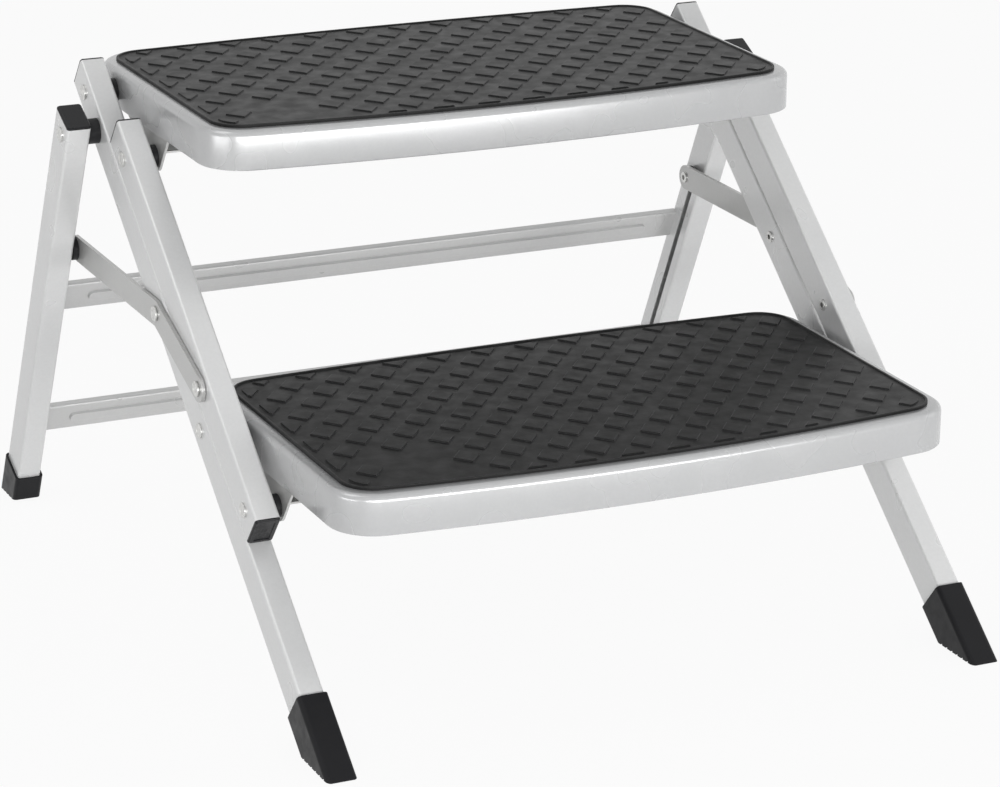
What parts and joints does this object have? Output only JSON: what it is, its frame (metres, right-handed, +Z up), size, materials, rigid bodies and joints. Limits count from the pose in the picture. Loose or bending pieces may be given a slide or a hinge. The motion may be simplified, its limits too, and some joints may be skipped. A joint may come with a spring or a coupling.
{
  "type": "folding two-step step stool",
  "caption": "Folding two-step stool: level rubber-covered treads on sloping square-tube legs, with a swinging rear frame and linked fold.",
  "frame": {"origin": "centre of the bounding box's bottom face, on the floor, with the stool open", "axes": "+Z up, +Y from the front of the treads to the rear legs, +X to the right seen from the front"},
  "size_m": [0.616, 0.6742, 0.4092],
  "materials": {
    "coated_tube": "satin light-silver powder coat on square tube",
    "coated_sheet": "satin light-silver powder coat on pressed sheet",
    "plate_steel": "satin silver coat on stamped plate",
    "rivet_metal": "zinc-plated tubular rivets",
    "tread_rubber": "matt charcoal ribbed rubber",
    "boot_rubber": "matt black moulded rubber",
    "cap_plastic": "semi-gloss black moulded plastic",
    "spacer_plastic": "matt black nylon"
  },
  "bodies": {
    "front_frame": {"front_leg_left": "coated_tube", "front_leg_cap_left": "cap_plastic", "front_foot_left": "boot_rubber", "step_pivot_spacers_left": "spacer_plastic", "rear_pivot_spacer_left": "spacer_plastic", "front_leg_rivets_left": "rivet_metal", "front_leg_right": "coated_tube", "front_leg_cap_right": "cap_plastic", "front_foot_right": "boot_rubber", "step_pivot_spacers_right": "spacer_plastic", "rear_pivot_spacer_right": "spacer_plastic", "front_leg_rivets_right": "rivet_metal"},
    "top_step": {"step_pan_top": "coated_sheet", "tread_mat_top": "tread_rubber", "step_bracket_top": "plate_steel"},
    "bottom_step": {"step_pan_bottom": "coated_sheet", "tread_mat_bottom": "tread_rubber", "step_bracket_bottom": "plate_steel"},
    "link_left": {"link_tube_left": "coated_tube", "link_cap_top_left": "cap_plastic", "link_cap_bottom_left": "cap_plastic", "link_spacers_left": "spacer_plastic", "link_rivets_left": "rivet_metal"},
    "link_right": {"link_tube_right": "coated_tube", "link_cap_top_right": "cap_plastic", "link_cap_bottom_right": "cap_plastic", "link_spacers_right": "spacer_plastic", "link_rivets_right": "rivet_metal"},
    "brace_left": {"brace_plate_left": "plate_steel", "brace_bush_left": "spacer_plastic", "brace_end_pin_left": "rivet_metal"},
    "brace_right": {"brace_plate_right": "plate_steel", "brace_bush_right": "spacer_plastic", "brace_end_pin_right": "rivet_metal"},
    "rear_frame": {"rear_leg_left": "coated_tube", "rear_leg_cap_left": "cap_plastic", "rear_foot_left": "boot_rubber", "rear_pivot_rivet_left": "rivet_metal", "rear_leg_right": "coated_tube", "rear_leg_cap_right": "cap_plastic", "rear_foot_right": "boot_rubber", "rear_pivot_rivet_right": "rivet_metal", "rear_crossbar_upper": "plate_steel", "rear_crossbar_lower": "plate_steel"}
  },
  "joints": [
    {"name": "fold", "type": "hinge", "parent": "front_frame", "child": "top_step", "pos_m": [0, 0.17321, 0.38418], "axis": [-1, 0, 0], "range_deg": [0, 124]},
    {"name": "bottom_step_swing", "type": "hinge", "parent": "front_frame", "child": "bottom_step", "pos_m": [0, -0.08113, 0.18186], "axis": [-1, 0, 0], "range_deg": [0, 124]},
    {"name": "link_left_swing", "type": "hinge", "parent": "top_step", "child": "link_left", "pos_m": [-0.266, 0.08289, 0.35156], "axis": [-1, 0, 0], "range_deg": [-124, 0]},
    {"name": "brace_left_swing", "type": "hinge", "parent": "front_frame", "child": "brace_left", "pos_m": [-0.278, 0.00417, 0.24972], "axis": [-1, 0, 0], "range_deg": [0, 124]},
    {"name": "link_right_swing", "type": "hinge", "parent": "top_step", "child": "link_right", "pos_m": [0.266, 0.08289, 0.35156], "axis": [-1, 0, 0], "range_deg": [-124, 0]},
    {"name": "brace_right_swing", "type": "hinge", "parent": "front_frame", "child": "brace_right", "pos_m": [0.278, 0.00417, 0.24972], "axis": [-1, 0, 0], "range_deg": [0, 124]},
    {"name": "rear_frame_swing", "type": "hinge", "parent": "front_frame", "child": "rear_frame", "pos_m": [0, 0.14293, 0.36009], "axis": [-1, 0, 0], "range_deg": [0, 68.06]}
  ],
  "couplings": [
    {"joint": "bottom_step_swing", "follows": "fold", "ratio": 1},
    {"joint": "link_left_swing", "follows": "fold", "ratio": -1},
    {"joint": "brace_left_swing", "follows": "fold", "ratio": 1},
    {"joint": "link_right_swing", "follows": "fold", "ratio": -1},
    {"joint": "brace_right_swing", "follows": "fold", "ratio": 1},
    {"joint": "rear_frame_swing", "follows": "fold", "ratio": 0.54846}
  ]
}
